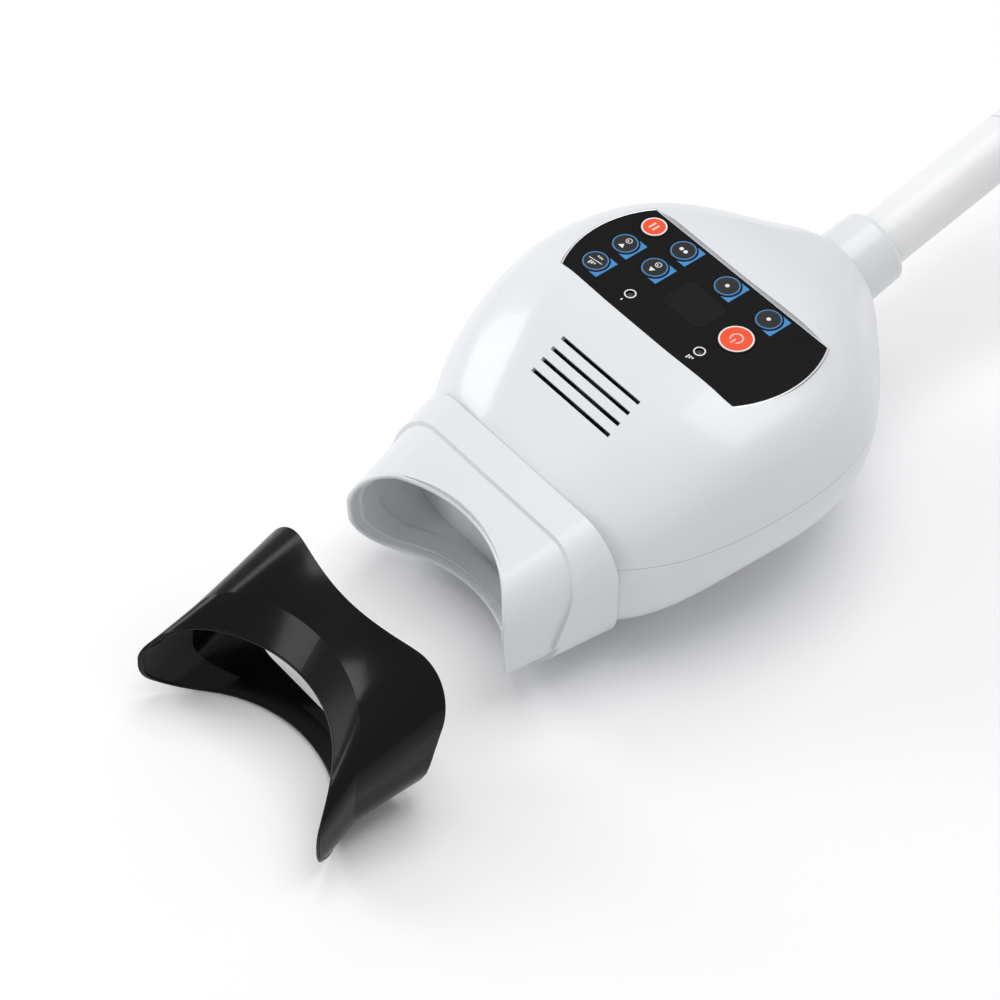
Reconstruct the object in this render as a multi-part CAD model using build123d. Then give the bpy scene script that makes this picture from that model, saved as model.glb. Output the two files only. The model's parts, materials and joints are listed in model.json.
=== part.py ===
"""Teeth whitening lamp: a handset-shaped lamp head on an arm tube, with its light hood taken off.

Millimetres. X runs across the head, -Y points at the patient, +Y at the arm and Z is up.
The origin is on the table, under the middle of the key panel and of the lamp's whole length.
"""

from build123d import *
from collections import namedtuple
import math
import os

os.makedirs("parts", exist_ok=True)

# Whole lamp
half_length = 213.5
fit_gap = 0.3
running_gap = 0.05

# Casing
casing_wall = 2.5
key_face_height = 88.0
seat_thickness = 2.0
seat_margin = 3.0
collar_bore_gap = 0.15

parting_gap = 0.2
belly_flat = 0.3

# Key panel
panel_half_length = 45.0
panel_half_depth = 22.2
panel_end_bulge = 6.5
panel_thickness = 1.2
panel_gap = 0.3
window_width = 20.6
window_depth = 14.8
window_corner = 3.5
window_ledge = 0.6
window_y = 0.6

# Keys
small_key_radius = 5.1
large_key_radius = 6.7
key_gap = 0.25
key_proud = 0.4
key_travel = 0.4
key_flange_width = 1.2
key_flange_thickness = 1.2
key_stem_radius = 1.8
key_columns = (-38.3, -22.5, 0.6, 22.0)
key_rows = (15.5, 1.9, -12.0)
on_off_y = 0.4

# Control board, hung under the key panel
board_thickness = 1.6
control_board_length = 104.0
control_board_depth = 44.0
control_board_top = 76.0
board_post_radius = 2.8
board_post_x = 47.5
board_post_y = 19.0
switch_side = 6.0
switch_height = 4.9
indicator_x = 18.2
indicator_y = -13.2
indicator_radius = 1.5

# Driver board, low in the head
driver_board_length = 76.0
driver_board_depth = 50.0
driver_board_y = 3.0
driver_board_top = 25.6
driver_post_radius = 3.0
driver_post_x = 33.0
driver_post_inset = 5.0

# Screws
small_screw_radius = 1.0
small_head_radius = 2.1
casing_screw_radius = 1.45
casing_head_radius = 3.0
screw_head_height = 1.6
thread_gap = 0.05
casing_post_radius = 4.0
casing_post_front = (56.0, -28.0)
casing_post_rear = (42.0, 36.0)
casing_screw_seat = 44.0
casing_screw_length = 22.0

# Nozzle: the flat snout that carries the light to the mouth
nozzle_back = -77.8
nozzle_half_width = 52.6
nozzle_top = 62.6
nozzle_bottom = 8.8
nozzle_taper = 0.17
nozzle_top_slope = 0.28
nozzle_bottom_slope = 0.05
nozzle_top_radius = 19.1
nozzle_bottom_radius = 18.4
nozzle_length = 48.5
step_depth = 1.45
step_y = -95.4
step_z = 43.0
step_tilt = 0.36
lip_y = -101.1
lip_radius = 56.7
lip_tilt = -0.07
lip_z = 43.0
nozzle_wall = 2.0
bulkhead_front = -84.0
spigot_length = 8.0
light_half_width = 40.0
light_bottom = 18.0
light_top = 50.0
notch_depth = 2.2
notch_low = 10.5
notch_high = 23.5
trim_thickness = 1.3
trim_set_back = 1.5
trim_depth = 7.0

# Light engine
lens_thickness = 3.0
gasket_thickness = 1.0
reflector_wall = 1.5
reflector_shrink = 6.0
led_board_y = -66.5
led_board_half_width = 38.0
led_half_size = 1.9
led_height = 1.4
led_columns = 6
led_column_pitch = 9.5
led_row_pitch = 5.6
heat_sink_half_width = 48.0
heat_sink_base = 4.0
fin_count = 13
fin_thickness = 1.6
fin_depth = 14.0
engine_post_x = 43.5
engine_post_heights = (25.0, 40.0)
engine_post_radius = 3.0

# Vents and fan
vent_slope = 24.5
vent_y = -49.0
vent_z = 79.8
vent_count = 4
vent_pitch = 5.0
vent_width = 1.5
vent_length = 41.0
fan_side = 35.0
fan_thickness = 10.0
fan_below_vents = 6.0
fan_bore_radius = 16.2
fan_blade_radius = 15.5
fan_hub_radius = 7.5
fan_blades = 7
fan_screw_offset = 14.5
fan_post_radius = 2.6

# Arm
arm_pitch = 11.75
arm_axis_height = 43.2
tube_radius = 11.0
tube_wall = 1.5
tube_inner_end = 52.0
collar_start = 59.9
collar_end = 93.5
collar_root_radius = 15.6
collar_tip_radius = 14.7
collar_bore_radius = 12.6
collar_flange_radius = 21.0
collar_flange_thickness = 3.0
collar_round = 2.2
bush_end = 90.0
seal_length = 2.6
rib_thickness = 2.0
rib_radius = 45.0
washer_thickness = 1.6
washer_radius = 14.3
ring_thickness = 1.2
ring_radius = 13.4
ring_groove = 0.6
stop_pin_radius = 1.5
stop_pin_at = 54.5
stop_inner_radius = 15.0
stop_outer_radius = 17.6
stop_half_angle = 12.0
arm_lead_radius = 3.0
socket_groove_at = 160.0
socket_groove_width = 1.2
socket_groove_depth = 0.5
connector_back = 200.0
connector_length = 10.0
connector_pins = 5
connector_pin_ring = 5.0

# Light hood, lying in front of the nozzle
hood_gap = 63.3
hood_travel = 60.3
hood_side = 9.0
hood_wall = 1.3
hood_fit = 0.6
hood_face_radius = 56.0
hood_rear_bow = 7.0
hood_crease_half_width = 47.4
hood_crease_top = 47.0
hood_crease_bottom = 2.2
hood_crease_top_radius = 19.0
hood_crease_bottom_radius = 16.0
hood_rim_half_width = 50.9
hood_rim_top = 35.6
hood_rim_top_radius = 17.0
hood_rim_bottom_radius = 13.0
hood_band_top = 9.0
hood_band_bottom = 6.0
hood_quarter_steps = 14
hood_edge_swell = 0.17
clip_thickness = 0.9
clip_length = 2.6
clip_play = 1.0


# Places along the head where its cross-section is given
Station = namedtuple("Station", "y half_width top bottom equator flatness belly_power")
head_stations = (
    Station(nozzle_back, 51.4, 61.4, 10.0, 36.0, 3.6, 3.2),
    Station(-66.0, 60.5, 69.8, 5.0, 41.5, 3.9, 2.6),
    Station(-48.0, 68.5, 80.4, 1.6, 46.5, 4.8, 2.1),
    Station(-24.0, 73.0, 88.4, -belly_flat, 50.0, 6.3, 1.9),
    Station(0.0, 73.5, 89.6, -belly_flat, 51.0, 6.6, 1.9),
    Station(24.0, 67.0, 89.4, 3.0, 53.0, 5.4, 1.9),
    Station(44.0, 52.0, 86.0, 13.0, 55.5, 3.8, 2.0),
    Station(60.0, 34.0, 80.0, 27.0, 57.0, 2.6, 2.0),
    Station(72.0, 17.0, 71.0, 45.0, 58.0, 2.0, 2.0),
)
outline_steps = 20


def rounded_outline(half_width, top, bottom, equator, top_powers, low_powers):
    """Points round a softened section, clockwise from its crown."""
    points = []
    for step in range(outline_steps):
        angle = 2 * math.pi * step / outline_steps
        across, up = math.sin(angle), math.cos(angle)
        upper = up > -1e-9
        power_x, power_z = top_powers if upper else low_powers
        rise = top - equator if upper else equator - bottom
        x = math.copysign(half_width * abs(across) ** (2 / power_x), across)
        z = equator + math.copysign(rise * abs(up) ** (2 / power_z), up)
        points.append((x, z))
    return points


def cross_plane(y):
    """Plane across the head at y, with its own x along X and its own y along Z."""
    return Plane(origin=(0, y, 0), x_dir=(1, 0, 0), z_dir=(0, -1, 0))


def head_face(station, inset):
    """Cross-section of the head at one station, drawn in by the inset, as four smooth quarters."""
    points = rounded_outline(
        station.half_width - inset,
        station.top - inset,
        station.bottom + inset,
        station.equator,
        (station.flatness, 2.0),
        (station.belly_power, station.belly_power),
    )
    points.append(points[0])
    headings = ((1, 0), (0, -1), (-1, 0), (0, 1), (1, 0))
    count = outline_steps // 4
    sides = []
    for side in range(4):
        row = points[side * count:(side + 1) * count + 1]
        sides.append(Spline(*row, tangents=headings[side:side + 2]))
    return cross_plane(station.y) * make_face(sides)


def head_body(inset):
    """The smooth egg of the head."""
    return loft([head_face(station, inset) for station in head_stations])


def cylinder_up(x, y, low, high, radius):
    """Upright cylinder between two heights."""
    return Pos(x, y, (low + high) / 2) * Cylinder(radius, high - low)


def box_between(low, high):
    """Box from its lowest to its highest corner."""
    size = [b - a for a, b in zip(low, high)]
    middle = [(a + b) / 2 for a, b in zip(low, high)]
    return Pos(*middle) * Box(*size)


def plate(face, low, high):
    """Flat sketch raised between two heights."""
    return extrude(Pos(0, 0, low) * face, amount=high - low)


def along_arm(distance):
    """Plane square to the arm's axis, at a distance along it from the panel's middle."""
    slope = math.radians(arm_pitch)
    point = (0, distance * math.cos(slope), arm_axis_height + distance * math.sin(slope))
    return Plane(origin=point, x_dir=(1, 0, 0), z_dir=(0, math.cos(slope), math.sin(slope)))


def arm_ring(start, end, outer, inner=0.0):
    """Ring or rod on the arm's axis."""
    length = end - start
    solid = Cylinder(outer, length)
    if inner > 0:
        solid = solid - Cylinder(inner, length)
    return along_arm((start + end) / 2) * solid


def mirrored(solid):
    """Copy on the other side of the head's middle plane."""
    return mirror(solid, about=Plane.YZ)


def parting_block(end, shift=0.0):
    """Block on one side of the curved parting line of the casing: under it or over it."""
    line = Spline((-80, 46.5), (-37, 55.0), (0, 57.5), (40, 58.6), (100, 64.0))
    nose = Spline((-135, 24.0), (-122, 28.5), (-100, 38.5), (-80, 46.5))
    frame = Polyline((100, 64.0), (100, end), (-135, end), (-135, 24.0))
    face = make_face([nose, line, frame])
    return Pos(0, 0, shift) * extrude(Plane.YZ * face, amount=100, both=True)


def panel_face(grow):
    """Outline of the key panel: straight long edges and bulging ends."""
    x, y = panel_half_length + grow, panel_half_depth + grow
    tip = panel_half_length + panel_end_bulge + grow
    lines = [
        Line((-x, -y), (x, -y)),
        ThreePointArc((x, -y), (tip, 0), (x, y)),
        Line((x, y), (-x, y)),
        ThreePointArc((-x, y), (-tip, 0), (-x, -y)),
    ]
    return make_face(lines)


# Heights that follow from the panel
panel_floor = key_face_height - panel_thickness
seat_floor = panel_floor - seat_thickness
control_board_low = control_board_top - board_thickness
driver_board_low = driver_board_top - board_thickness
stem_end = control_board_top + switch_height + key_travel + 0.1

Key = namedtuple("Key", "name x y radius")
keys = (
    Key("key_pause", key_columns[0], key_rows[0], small_key_radius),
    Key("key_time_down", key_columns[0], key_rows[1], small_key_radius),
    Key("key_high_low", key_columns[0], key_rows[2], small_key_radius),
    Key("key_time_up", key_columns[1], key_rows[1], small_key_radius),
    Key("key_two_colours", key_columns[1], key_rows[0], small_key_radius),
    Key("key_red_light", key_columns[2], key_rows[0], small_key_radius),
    Key("key_blue_light", key_columns[3], key_rows[0], small_key_radius),
    Key("key_on_off", key_columns[3], on_off_y, large_key_radius),
)
indicators = ((-indicator_x, indicator_y), (indicator_x, indicator_y))
board_posts = [(x, y) for x in (-board_post_x, board_post_x) for y in (-board_post_y, board_post_y)]
driver_front = driver_board_y - driver_board_depth / 2 + driver_post_inset
driver_rear = driver_board_y + driver_board_depth / 2 - driver_post_inset
driver_posts = [(x, y) for x in (-driver_post_x, driver_post_x) for y in (driver_front, driver_rear)]
casing_posts = [(side * x, y) for x, y in (casing_post_front, casing_post_rear) for side in (-1, 1)]


def window_face(grow):
    """Outline of the display window."""
    width, depth = window_width + 2 * grow, window_depth + 2 * grow
    sketch = RectangleRounded(width, depth, window_corner + grow)
    return Pos(0, window_y) * sketch


def vent_plane(depth):
    """Plane along the sloping front of the head, at a depth under its surface."""
    slope = math.radians(vent_slope)
    point = (0, vent_y + depth * math.sin(slope), vent_z - depth * math.cos(slope))
    return Plane(origin=point, x_dir=(1, 0, 0), z_dir=(0, -math.sin(slope), math.cos(slope)))


def vent_slots():
    """Thin slots across the sloping front."""
    slots = []
    for number in range(vent_count):
        place = (number - (vent_count - 1) / 2) * vent_pitch
        slots.append(vent_plane(0) * Pos(0, place, 0) * Box(vent_length, vent_width, 14))
    return slots


fan_top_depth = casing_wall + fan_below_vents - 2.0
fan_offsets = (-fan_screw_offset, fan_screw_offset)
fan_corners = [(x, y) for x in fan_offsets for y in fan_offsets]


def casing():
    """Both casing halves, before the parting line splits them."""
    inside = [plate(panel_face(seat_margin), seat_floor, key_face_height + 5)]
    for x, y in board_posts:
        inside.append(cylinder_up(x, y, control_board_top, seat_floor + 1, board_post_radius))
    for x, y in driver_posts:
        inside.append(cylinder_up(x, y, -1, driver_board_low, driver_post_radius))
    for x, y in casing_posts:
        inside.append(cylinder_up(x, y, -1, key_face_height + 5, casing_post_radius))
    for x, y in fan_corners:
        post = Pos(x, y, fan_top_depth / 2 + 2) * Cylinder(fan_post_radius, fan_top_depth + 4)
        inside.append(vent_plane(fan_top_depth) * post)
    flange_end = collar_start + collar_flange_thickness
    lug_room = stop_outer_radius + 0.8
    inside.append(arm_ring(collar_start - rib_thickness, collar_start, rib_radius, lug_room))
    inside.append(arm_ring(flange_end, flange_end + rib_thickness, rib_radius, collar_root_radius))
    inside.append(box_between((-80, nozzle_back - 5, -5), (80, nozzle_back, 95)))
    hollow = head_body(casing_wall) - inside
    bore = arm_ring(collar_start, collar_end + 10, collar_root_radius + collar_bore_gap)
    under_belly = box_between((-80, -100, -5), (80, 100, 0))
    return head_body(0) - [hollow, bore, under_belly]


def upper_shell(whole, lower_block):
    """Top casing: panel seat, key holes, vents and screw posts."""
    cuts = [lower_block, plate(panel_face(panel_gap), panel_floor, key_face_height + 10)]
    for key in keys:
        cuts.append(cylinder_up(key.x, key.y, seat_floor - 1, panel_floor + 0.5, key.radius + key_gap))
    cuts.append(plate(window_face(-window_ledge), seat_floor - 1, panel_floor + 0.5))
    for x, y in indicators:
        cuts.append(cylinder_up(x, y, seat_floor - 1, panel_floor + 0.5, indicator_radius + 0.2))
    cuts += vent_slots()
    for x, y in board_posts:
        cuts.append(cylinder_up(x, y, control_board_top - 1, seat_floor, small_screw_radius + thread_gap))
    for x, y in casing_posts:
        top = casing_screw_seat + casing_screw_length + 1
        cuts.append(cylinder_up(x, y, casing_screw_seat, top, casing_screw_radius + thread_gap))
    for x, y in fan_corners:
        hole = Pos(x, y, 2) * Cylinder(small_screw_radius + thread_gap, 5)
        cuts.append(vent_plane(fan_top_depth) * hole)
    return whole - cuts


def lower_shell(whole, upper_block):
    """Belly casing: screw tubes and driver board posts."""
    cuts = [upper_block]
    for x, y in casing_posts:
        cuts.append(cylinder_up(x, y, casing_screw_seat - 1, 70, casing_screw_radius + 0.2))
        cuts.append(cylinder_up(x, y, -1, casing_screw_seat, casing_head_radius + 0.25))
    for x, y in driver_posts:
        low = driver_board_low - 8
        cuts.append(cylinder_up(x, y, low, driver_board_low + 1, small_screw_radius + thread_gap))
    return whole - cuts


def nozzle_face(y, inset):
    """Cross-section of the nozzle at y, drawn in by the inset."""
    forward = nozzle_back - y
    half = nozzle_half_width - nozzle_taper * forward - inset
    top = nozzle_top - nozzle_top_slope * forward - inset
    bottom = nozzle_bottom - nozzle_bottom_slope * forward + inset
    sketch = Polygon((-half, bottom), (half, bottom), (half, top), (-half, top), align=None)
    rows = sketch.vertices().group_by(Axis.Y)
    sketch = fillet(rows[-1], nozzle_top_radius - inset)
    low_corners = [v for v in sketch.vertices() if abs(v.Y - bottom) < 1e-6]
    sketch = fillet(low_corners, nozzle_bottom_radius - inset)
    return cross_plane(y) * sketch


def nozzle_run(start, end, inset):
    """Straight tapering run of the nozzle between two places."""
    return loft([nozzle_face(start, inset), nozzle_face(end, inset)], ruled=True)


def lip_cut(set_back):
    """Upright round of the face that hollows the nozzle's lip."""
    plane = Plane(origin=(0, lip_y - lip_radius, lip_z), x_dir=(1, 0, 0), z_dir=(0, lip_tilt, 1))
    return plane * Cylinder(lip_radius + set_back, 300)


def step_block(set_back=0.0):
    """Everything in front of the nozzle's step, or of a plane set back behind it."""
    plane = Plane(origin=(0, step_y + set_back, step_z), x_dir=(1, 0, 0), z_dir=(0, -1, step_tilt))
    return plane * Pos(0, 0, 100) * Box(300, 300, 200)


def light_face(y, grow):
    """Opening that the light passes through, at y."""
    width = 2 * (light_half_width + grow)
    height = light_top - light_bottom + 2 * grow
    sketch = RectangleRounded(width, height, 8 + grow)
    return cross_plane(y) * Pos(0, (light_top + light_bottom) / 2) * sketch


nozzle_front = nozzle_back - nozzle_length
duct_inset = step_depth + nozzle_wall


def nozzle():
    """Collar, stepped sleeve and hollow lip, before the parting line splits them."""
    collar = nozzle_run(nozzle_back, nozzle_front, 0) - step_block()
    sleeve = nozzle_run(nozzle_back, nozzle_front, step_depth)
    body = collar + sleeve
    body -= nozzle_run(bulkhead_front, nozzle_front - 1, duct_inset)
    body -= lip_cut(0)
    spigot = extrude(head_face(head_stations[0], casing_wall + fit_gap), amount=-spigot_length)
    body += spigot
    opening = extrude(light_face(nozzle_back + spigot_length + 1, 0), amount=20)
    body -= opening
    spigot_back = nozzle_back + spigot_length
    base_front = led_board_y + board_thickness
    for side in (-1, 1):
        for height in engine_post_heights:
            post = Cylinder(engine_post_radius, base_front - spigot_back + 1)
            middle = (base_front + spigot_back - 1) / 2
            body += Pos(side * engine_post_x, middle, height) * Rot(90, 0, 0) * post
            hole = Cylinder(small_screw_radius + thread_gap, 8)
            body -= Pos(side * engine_post_x, base_front - 4, height) * Rot(90, 0, 0) * hole
    rim = nozzle_run(nozzle_back, nozzle_front, -1) - nozzle_run(nozzle_back, nozzle_front, step_depth)
    sides = box_between((-60, -130, notch_low), (60, -70, notch_high))
    return body - (rim & sides & step_block(notch_depth))


def mouth_trim():
    """Thin ring that lines the duct just inside the lip."""
    clear = duct_inset + 0.05
    ring = nozzle_run(lip_y + 12, nozzle_front, clear)
    ring -= nozzle_run(lip_y + 13, nozzle_front - 1, clear + trim_thickness)
    return (ring & lip_cut(trim_set_back + trim_depth)) - lip_cut(trim_set_back)


def window_lens():
    """Clear window across the duct."""
    back = bulkhead_front - gasket_thickness
    return nozzle_run(back, back - lens_thickness, duct_inset + 0.15)


def window_gasket():
    """Soft ring between the window and the bulkhead."""
    ring = nozzle_run(bulkhead_front, bulkhead_front - gasket_thickness, duct_inset + 0.15)
    hole = extrude(light_face(bulkhead_front + 1, 1), amount=gasket_thickness + 2)
    return ring - hole


def reflector():
    """Tapering light tunnel from the lamp board to the window."""
    front = bulkhead_front + fit_gap
    outer = loft([light_face(front, -fit_gap), light_face(led_board_y, -reflector_shrink)])
    inner_front = light_face(front - 0.01, -fit_gap - reflector_wall)
    inner_back = light_face(led_board_y + 0.01, -reflector_shrink - reflector_wall)
    return outer - loft([inner_front, inner_back])


def led_board():
    """Board that carries the lamp chips."""
    low = (-led_board_half_width, led_board_y, light_bottom - 1)
    high = (led_board_half_width, led_board_y + board_thickness, light_top + 1)
    return box_between(low, high)


def led_places(rows):
    """Places of the lamp chips in the given rows, counted from the middle one."""
    middle = (light_top + light_bottom) / 2
    for row in rows:
        for column in range(led_columns):
            x = (column - (led_columns - 1) / 2) * led_column_pitch
            yield x, middle + row * led_row_pitch


def emitters(rows):
    """Domed lamp chips in rows."""
    chips = []
    for x, z in led_places(rows):
        low = (x - led_half_size, led_board_y - led_height, z - led_half_size)
        high = (x + led_half_size, led_board_y, z + led_half_size)
        dome = Sphere(led_half_size * 0.8) & Pos(0, 0, 5) * Box(10, 10, 10)
        base = box_between(low, high)
        chips.append(base + Pos(x, led_board_y - led_height, z) * Rot(90, 0, 0) * dome)
    return Compound(children=[chip.solid() for chip in chips])


def heat_sink():
    """Finned block that takes the heat off the lamp board."""
    front = led_board_y + board_thickness
    back = front + heat_sink_base
    low, high = light_bottom - 1, light_top + 1
    block = box_between((-heat_sink_half_width, front, low), (heat_sink_half_width, back, high))
    span = 2 * led_board_half_width - fin_thickness
    for fin in range(fin_count):
        x = -span / 2 + span * fin / (fin_count - 1)
        block += box_between(
            (x - fin_thickness / 2, back, low), (x + fin_thickness / 2, back + fin_depth, high)
        )
    for side in (-1, 1):
        for height in engine_post_heights:
            hole = Cylinder(small_screw_radius + 0.2, 2 * heat_sink_base)
            block -= Pos(side * engine_post_x, front + 1, height) * Rot(90, 0, 0) * hole
    return block


def screw(length, radius, head_radius):
    """Pan-head screw pointing up, with the underside of its head at the origin."""
    shaft = Pos(0, 0, length / 2) * Cylinder(radius, length)
    head = Pos(0, 0, -screw_head_height / 2) * Cylinder(head_radius, screw_head_height)
    head = fillet(head.edges().sort_by(Axis.Z)[0], screw_head_height * 0.4)
    drive = Pos(0, 0, -screw_head_height) * Box(head_radius * 1.3, 0.5, screw_head_height * 0.8)
    return shaft + head - drive


def group(solids):
    """Several like pieces in one node."""
    return Compound(children=[piece.solid() for piece in solids])


def engine_screws():
    """Screws that hold the heat sink to the nozzle."""
    seat = led_board_y + board_thickness + heat_sink_base
    solids = []
    for side in (-1, 1):
        for height in engine_post_heights:
            place = Pos(side * engine_post_x, seat, height) * Rot(90, 0, 0)
            solids.append(place * screw(10, small_screw_radius, small_head_radius))
    return group(solids)


def board_screws():
    """Screws under the control board."""
    item = screw(8, small_screw_radius, small_head_radius)
    return group([Pos(x, y, control_board_low) * item for x, y in board_posts])


def driver_screws():
    """Screws on top of the driver board."""
    item = Rot(180, 0, 0) * screw(8, small_screw_radius, small_head_radius)
    return group([Pos(x, y, driver_board_top) * item for x, y in driver_posts])


def casing_screws():
    """Long screws that join the two casings from below."""
    item = screw(casing_screw_length, casing_screw_radius, casing_head_radius)
    return group([Pos(x, y, casing_screw_seat) * item for x, y in casing_posts])


def fan_screws():
    """Screws that hang the fan under the vents."""
    item = screw(fan_thickness + 3, small_screw_radius, small_head_radius)
    plane = vent_plane(fan_top_depth + fan_thickness)
    return group([plane * Pos(x, y, 0) * item for x, y in fan_corners])


def fan_frame():
    """Square frame with the motor seat on three struts."""
    plane = vent_plane(fan_top_depth + fan_thickness / 2)
    block = Box(fan_side, fan_side, fan_thickness)
    block = fillet(block.edges().filter_by(Axis.Z), 2.5)
    block -= Cylinder(fan_bore_radius, fan_thickness + 1)
    seat = Pos(0, 0, -fan_thickness / 2 + 0.8) * Cylinder(fan_hub_radius, 1.6)
    for number in range(3):
        strut = Pos(fan_bore_radius / 2 + 0.5, 0, -fan_thickness / 2 + 0.8) * Box(fan_bore_radius + 1, 2, 1.6)
        seat += Rot(0, 0, 120 * number + 30) * strut
    axle = Pos(0, 0, -fan_thickness / 2 + 4) * Cylinder(1.0, 6)
    block += seat + axle
    for x, y in fan_corners:
        block -= Pos(x, y, 0) * Cylinder(small_screw_radius + 0.2, fan_thickness + 1)
    return plane * block


def fan_rotor():
    """Hub with slanted blades, turning on the frame's axle."""
    plane = vent_plane(fan_top_depth + fan_thickness / 2)
    low = -fan_thickness / 2 + 2.2
    hub_height = fan_thickness - 3.0
    hub = Pos(0, 0, low + hub_height / 2) * Cylinder(fan_hub_radius, hub_height)
    top_edge = hub.edges().sort_by(Axis.Z)[-1]
    hub = fillet(top_edge, 1.0)
    blade_length = fan_blade_radius - fan_hub_radius + 1.5
    middle = fan_hub_radius - 1.5 + blade_length / 2
    for number in range(fan_blades):
        blade = Pos(middle, 0, low + hub_height / 2) * Rot(38, 0, 0) * Box(blade_length, 7.0, 0.9)
        hub += Rot(0, 0, 360 * number / fan_blades) * blade
    hub &= Pos(0, 0, low + hub_height / 2) * Cylinder(fan_blade_radius, hub_height)
    hub -= Pos(0, 0, -fan_thickness / 2 + 4) * Cylinder(1.0 + running_gap, 6.2)
    return plane * hub


def panel_overlay():
    """Glossy plate of the key panel."""
    sheet = plate(panel_face(0), panel_floor, key_face_height)
    for key in keys:
        sheet -= cylinder_up(key.x, key.y, panel_floor - 1, key_face_height + 1, key.radius + key_gap)
    sheet -= plate(window_face(0.1), panel_floor - 1, key_face_height + 1)
    for x, y in indicators:
        sheet -= cylinder_up(x, y, panel_floor - 1, key_face_height + 1, indicator_radius + 0.2)
    return sheet


def display_window():
    """Smoky pane over the display."""
    return plate(window_face(0), panel_floor, key_face_height)


def key_cap(key):
    """Round key: a crowned cap, a flange that keeps it in, and a stem to its switch."""
    top = key_face_height + key_proud
    flange_top = seat_floor - fit_gap
    cap = cylinder_up(key.x, key.y, flange_top, top, key.radius)
    cap = fillet(cap.edges().sort_by(Axis.Z)[-1], key_proud * 0.9)
    flange_low = flange_top - key_flange_thickness
    cap += cylinder_up(key.x, key.y, flange_low, flange_top, key.radius + key_flange_width)
    return cap + cylinder_up(key.x, key.y, stem_end, flange_low, key_stem_radius)


def control_board():
    """Board under the keys."""
    low = (-control_board_length / 2, -control_board_depth / 2, control_board_low)
    high = (control_board_length / 2, control_board_depth / 2, control_board_top)
    board = box_between(low, high)
    for x, y in board_posts:
        board -= cylinder_up(x, y, control_board_low - 1, control_board_top + 1, small_screw_radius + 0.2)
    return board


def key_switches():
    """Tact switches, one under each key."""
    solids = []
    for key in keys:
        half = switch_side / 2
        low = (key.x - half, key.y - half, control_board_top)
        high = (key.x + half, key.y + half, control_board_top + switch_height - 1.2)
        body = box_between(low, high)
        solids.append(body + cylinder_up(key.x, key.y, high[2] - 0.5, high[2] + 1.2, 1.6))
    return group(solids)


def display_module():
    """Two-figure display on the control board, with its figure recesses."""
    half_x, half_y = window_width / 2 + 0.6, window_depth / 2 + 0.6
    low = (-half_x, window_y - half_y, control_board_top)
    high = (half_x, window_y + half_y, seat_floor - fit_gap)
    module = box_between(low, high)
    for side in (-1, 1):
        for bar_y in (-4.6, 0, 4.6):
            module -= Pos(side * 4.8, window_y + bar_y, high[2]) * Box(4.2, 0.9, 0.6)
        for bar_x in (-2.7, 2.7):
            for bar_y in (-2.3, 2.3):
                module -= Pos(side * 4.8 + bar_x, window_y + bar_y, high[2]) * Box(0.9, 3.6, 0.6)
    return module


def indicator_leds():
    """Two small lamps that stand up into the panel."""
    solids = []
    for x, y in indicators:
        top = key_face_height - 0.6
        body = cylinder_up(x, y, control_board_top, top, indicator_radius)
        solids.append(fillet(body.edges().sort_by(Axis.Z)[-1], indicator_radius * 0.8))
    return group(solids)


def buzzer():
    """Round sounder on the control board."""
    body = cylinder_up(39, -8, control_board_top, control_board_top + 5, 5)
    return body - cylinder_up(39, -8, control_board_top + 3, control_board_top + 6, 0.9)


def driver_board():
    """Power board low in the head."""
    half_x, half_y = driver_board_length / 2, driver_board_depth / 2
    low = (-half_x, driver_board_y - half_y, driver_board_low)
    high = (half_x, driver_board_y + half_y, driver_board_top)
    board = box_between(low, high)
    for x, y in driver_posts:
        board -= cylinder_up(x, y, driver_board_low - 1, driver_board_top + 1, small_screw_radius + 0.2)
    return board


def driver_parts():
    """Coil, capacitors, regulator and lead header on the driver board."""
    top = driver_board_top
    coil = cylinder_up(-16, -6, top, top + 9, 7.5) - cylinder_up(-16, -6, top + 1, top + 10, 3.0)
    solids = [coil]
    for x in (-2, 8, 18):
        solids.append(cylinder_up(x, -10, top, top + 12, 4))
    solids.append(box_between((-24, 12, top), (-10, 17, top + 9)))
    solids.append(box_between((-5, 21, top), (5, 26, top + 6)))
    return group(solids)


link_x, link_y, link_width, link_thickness, socket_height = 26.0, 12.0, 14.0, 1.0, 4.0


def board_link():
    """Flat lead between the two boards."""
    low = (link_x - link_width / 2, link_y - link_thickness / 2, driver_board_top + socket_height)
    high = (link_x + link_width / 2, link_y + link_thickness / 2, control_board_low - socket_height)
    return box_between(low, high)


def link_sockets():
    """Sockets at both ends of the flat lead."""
    solids = []
    for low_z in (driver_board_top, control_board_low - socket_height):
        low = (link_x - link_width / 2 - 1, link_y - 2.5, low_z)
        high = (link_x + link_width / 2 + 1, link_y + 2.5, low_z + socket_height)
        solids.append(box_between(low, high))
    return group(solids)


def lead(points, radii, radius):
    """Round lead along straight runs joined by arcs."""
    path = FilletPolyline(*points, radius=radii)
    start = Plane(origin=path @ 0, z_dir=path % 0)
    return sweep(start * Circle(radius), path=path)


def lamp_lead():
    """Lead from the driver board under the heat sink to the lamp board."""
    y_board = led_board_y + board_thickness / 2
    low = light_bottom - 5
    points = (
        (30, driver_board_y - driver_board_depth / 2 + 1, driver_board_top + 1.2),
        (30, -34, driver_board_top + 1.2),
        (30, -44, low),
        (30, y_board, low),
        (30, y_board, light_bottom - 1),
    )
    return lead(points, (4, 4, 2), 0.7)


def head_lead():
    """Supply lead from the arm's axis down to the driver board."""
    start = along_arm(tube_inner_end).origin
    bend = along_arm(tube_inner_end - 16).origin
    points = (
        (0, start.Y, start.Z),
        (0, bend.Y, bend.Z),
        (0, 23.5, 42),
        (0, 23.5, driver_board_top + 6),
    )
    return lead(points, (6, 4), arm_lead_radius)


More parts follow.
